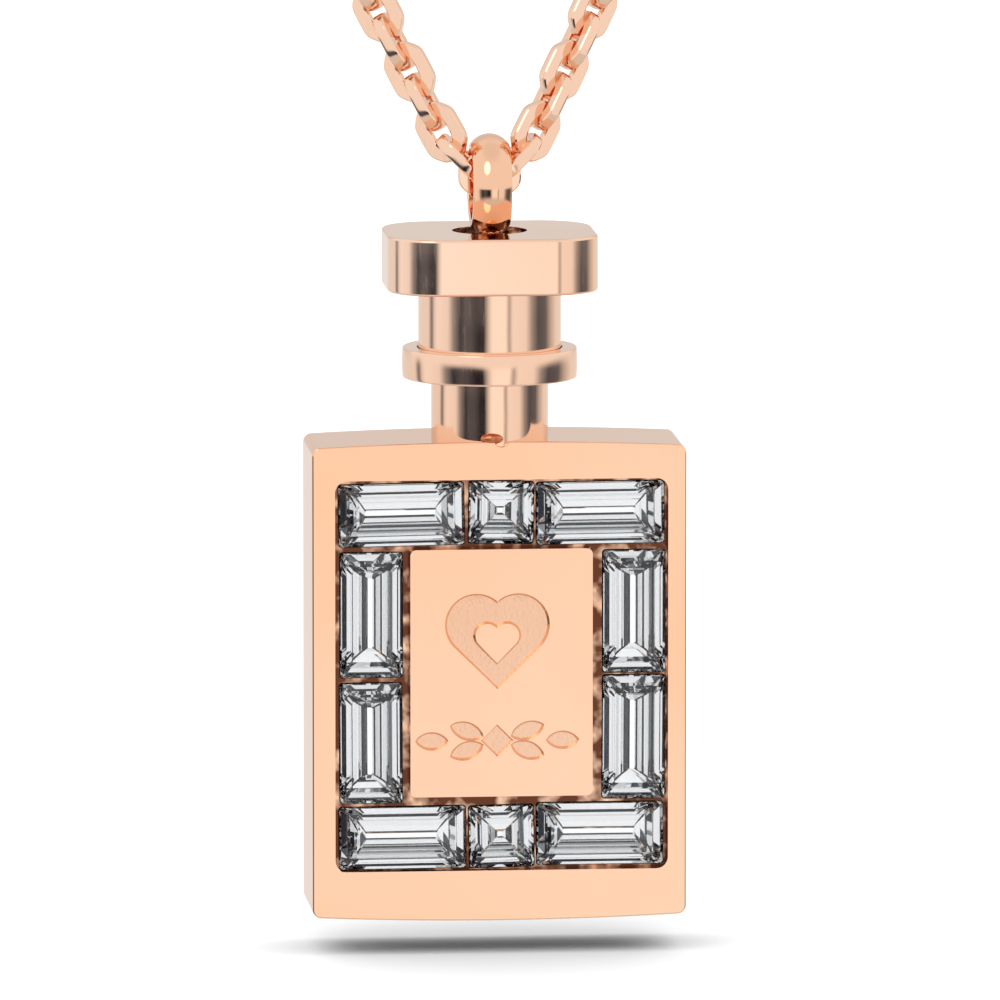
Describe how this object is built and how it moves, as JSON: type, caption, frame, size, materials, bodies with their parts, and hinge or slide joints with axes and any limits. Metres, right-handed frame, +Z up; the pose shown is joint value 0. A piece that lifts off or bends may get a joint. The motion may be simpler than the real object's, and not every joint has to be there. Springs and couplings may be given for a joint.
{
  "type": "bottle pendant on a cable chain",
  "caption": "Flat rectangular bottle pendant with a channel of step-cut stones round a raised plate, a collared neck, a cushion stopper and a ring, hanging on a cable chain loop.",
  "frame": {"origin": "on the chain's centre line at the nape, at the middle of the clasp, where the necklace sits on the back of the neck", "axes": "+Z up, -Y the way the pendant's stones face, +X to the viewer's right seen from -Y"},
  "size_m": [0.1156, 0.1043, 0.1593],
  "materials": {
    "polished_case": "mirror-polished steel plated in rose gold",
    "polished_stopper": "mirror-polished steel plated in rose gold",
    "polished_ring": "mirror-polished steel plated in rose gold",
    "chain_links": "flattened and polished links plated in rose gold",
    "polished_clasp": "polished steel plated in rose gold",
    "clear_stone": "clear step-cut crystal with a silvered back"
  },
  "bodies": {
    "necklace": {"chain": "chain_links", "clasp": "polished_clasp"},
    "pendant": {"case": "polished_case", "stopper": "polished_stopper", "bail_ring": "polished_ring", "stone_top_left": "clear_stone", "stone_top_middle": "clear_stone", "stone_top_right": "clear_stone", "stone_left_upper": "clear_stone", "stone_left_lower": "clear_stone", "stone_right_upper": "clear_stone", "stone_right_lower": "clear_stone", "stone_bottom_left": "clear_stone", "stone_bottom_middle": "clear_stone", "stone_bottom_right": "clear_stone"}
  },
  "joints": [
    {"name": "pendant_swing", "type": "hinge", "parent": "necklace", "child": "pendant", "pos_m": [0, -0.099, -0.12637], "axis": [1, 0, 0], "range_deg": [-75, 75]}
  ]
}
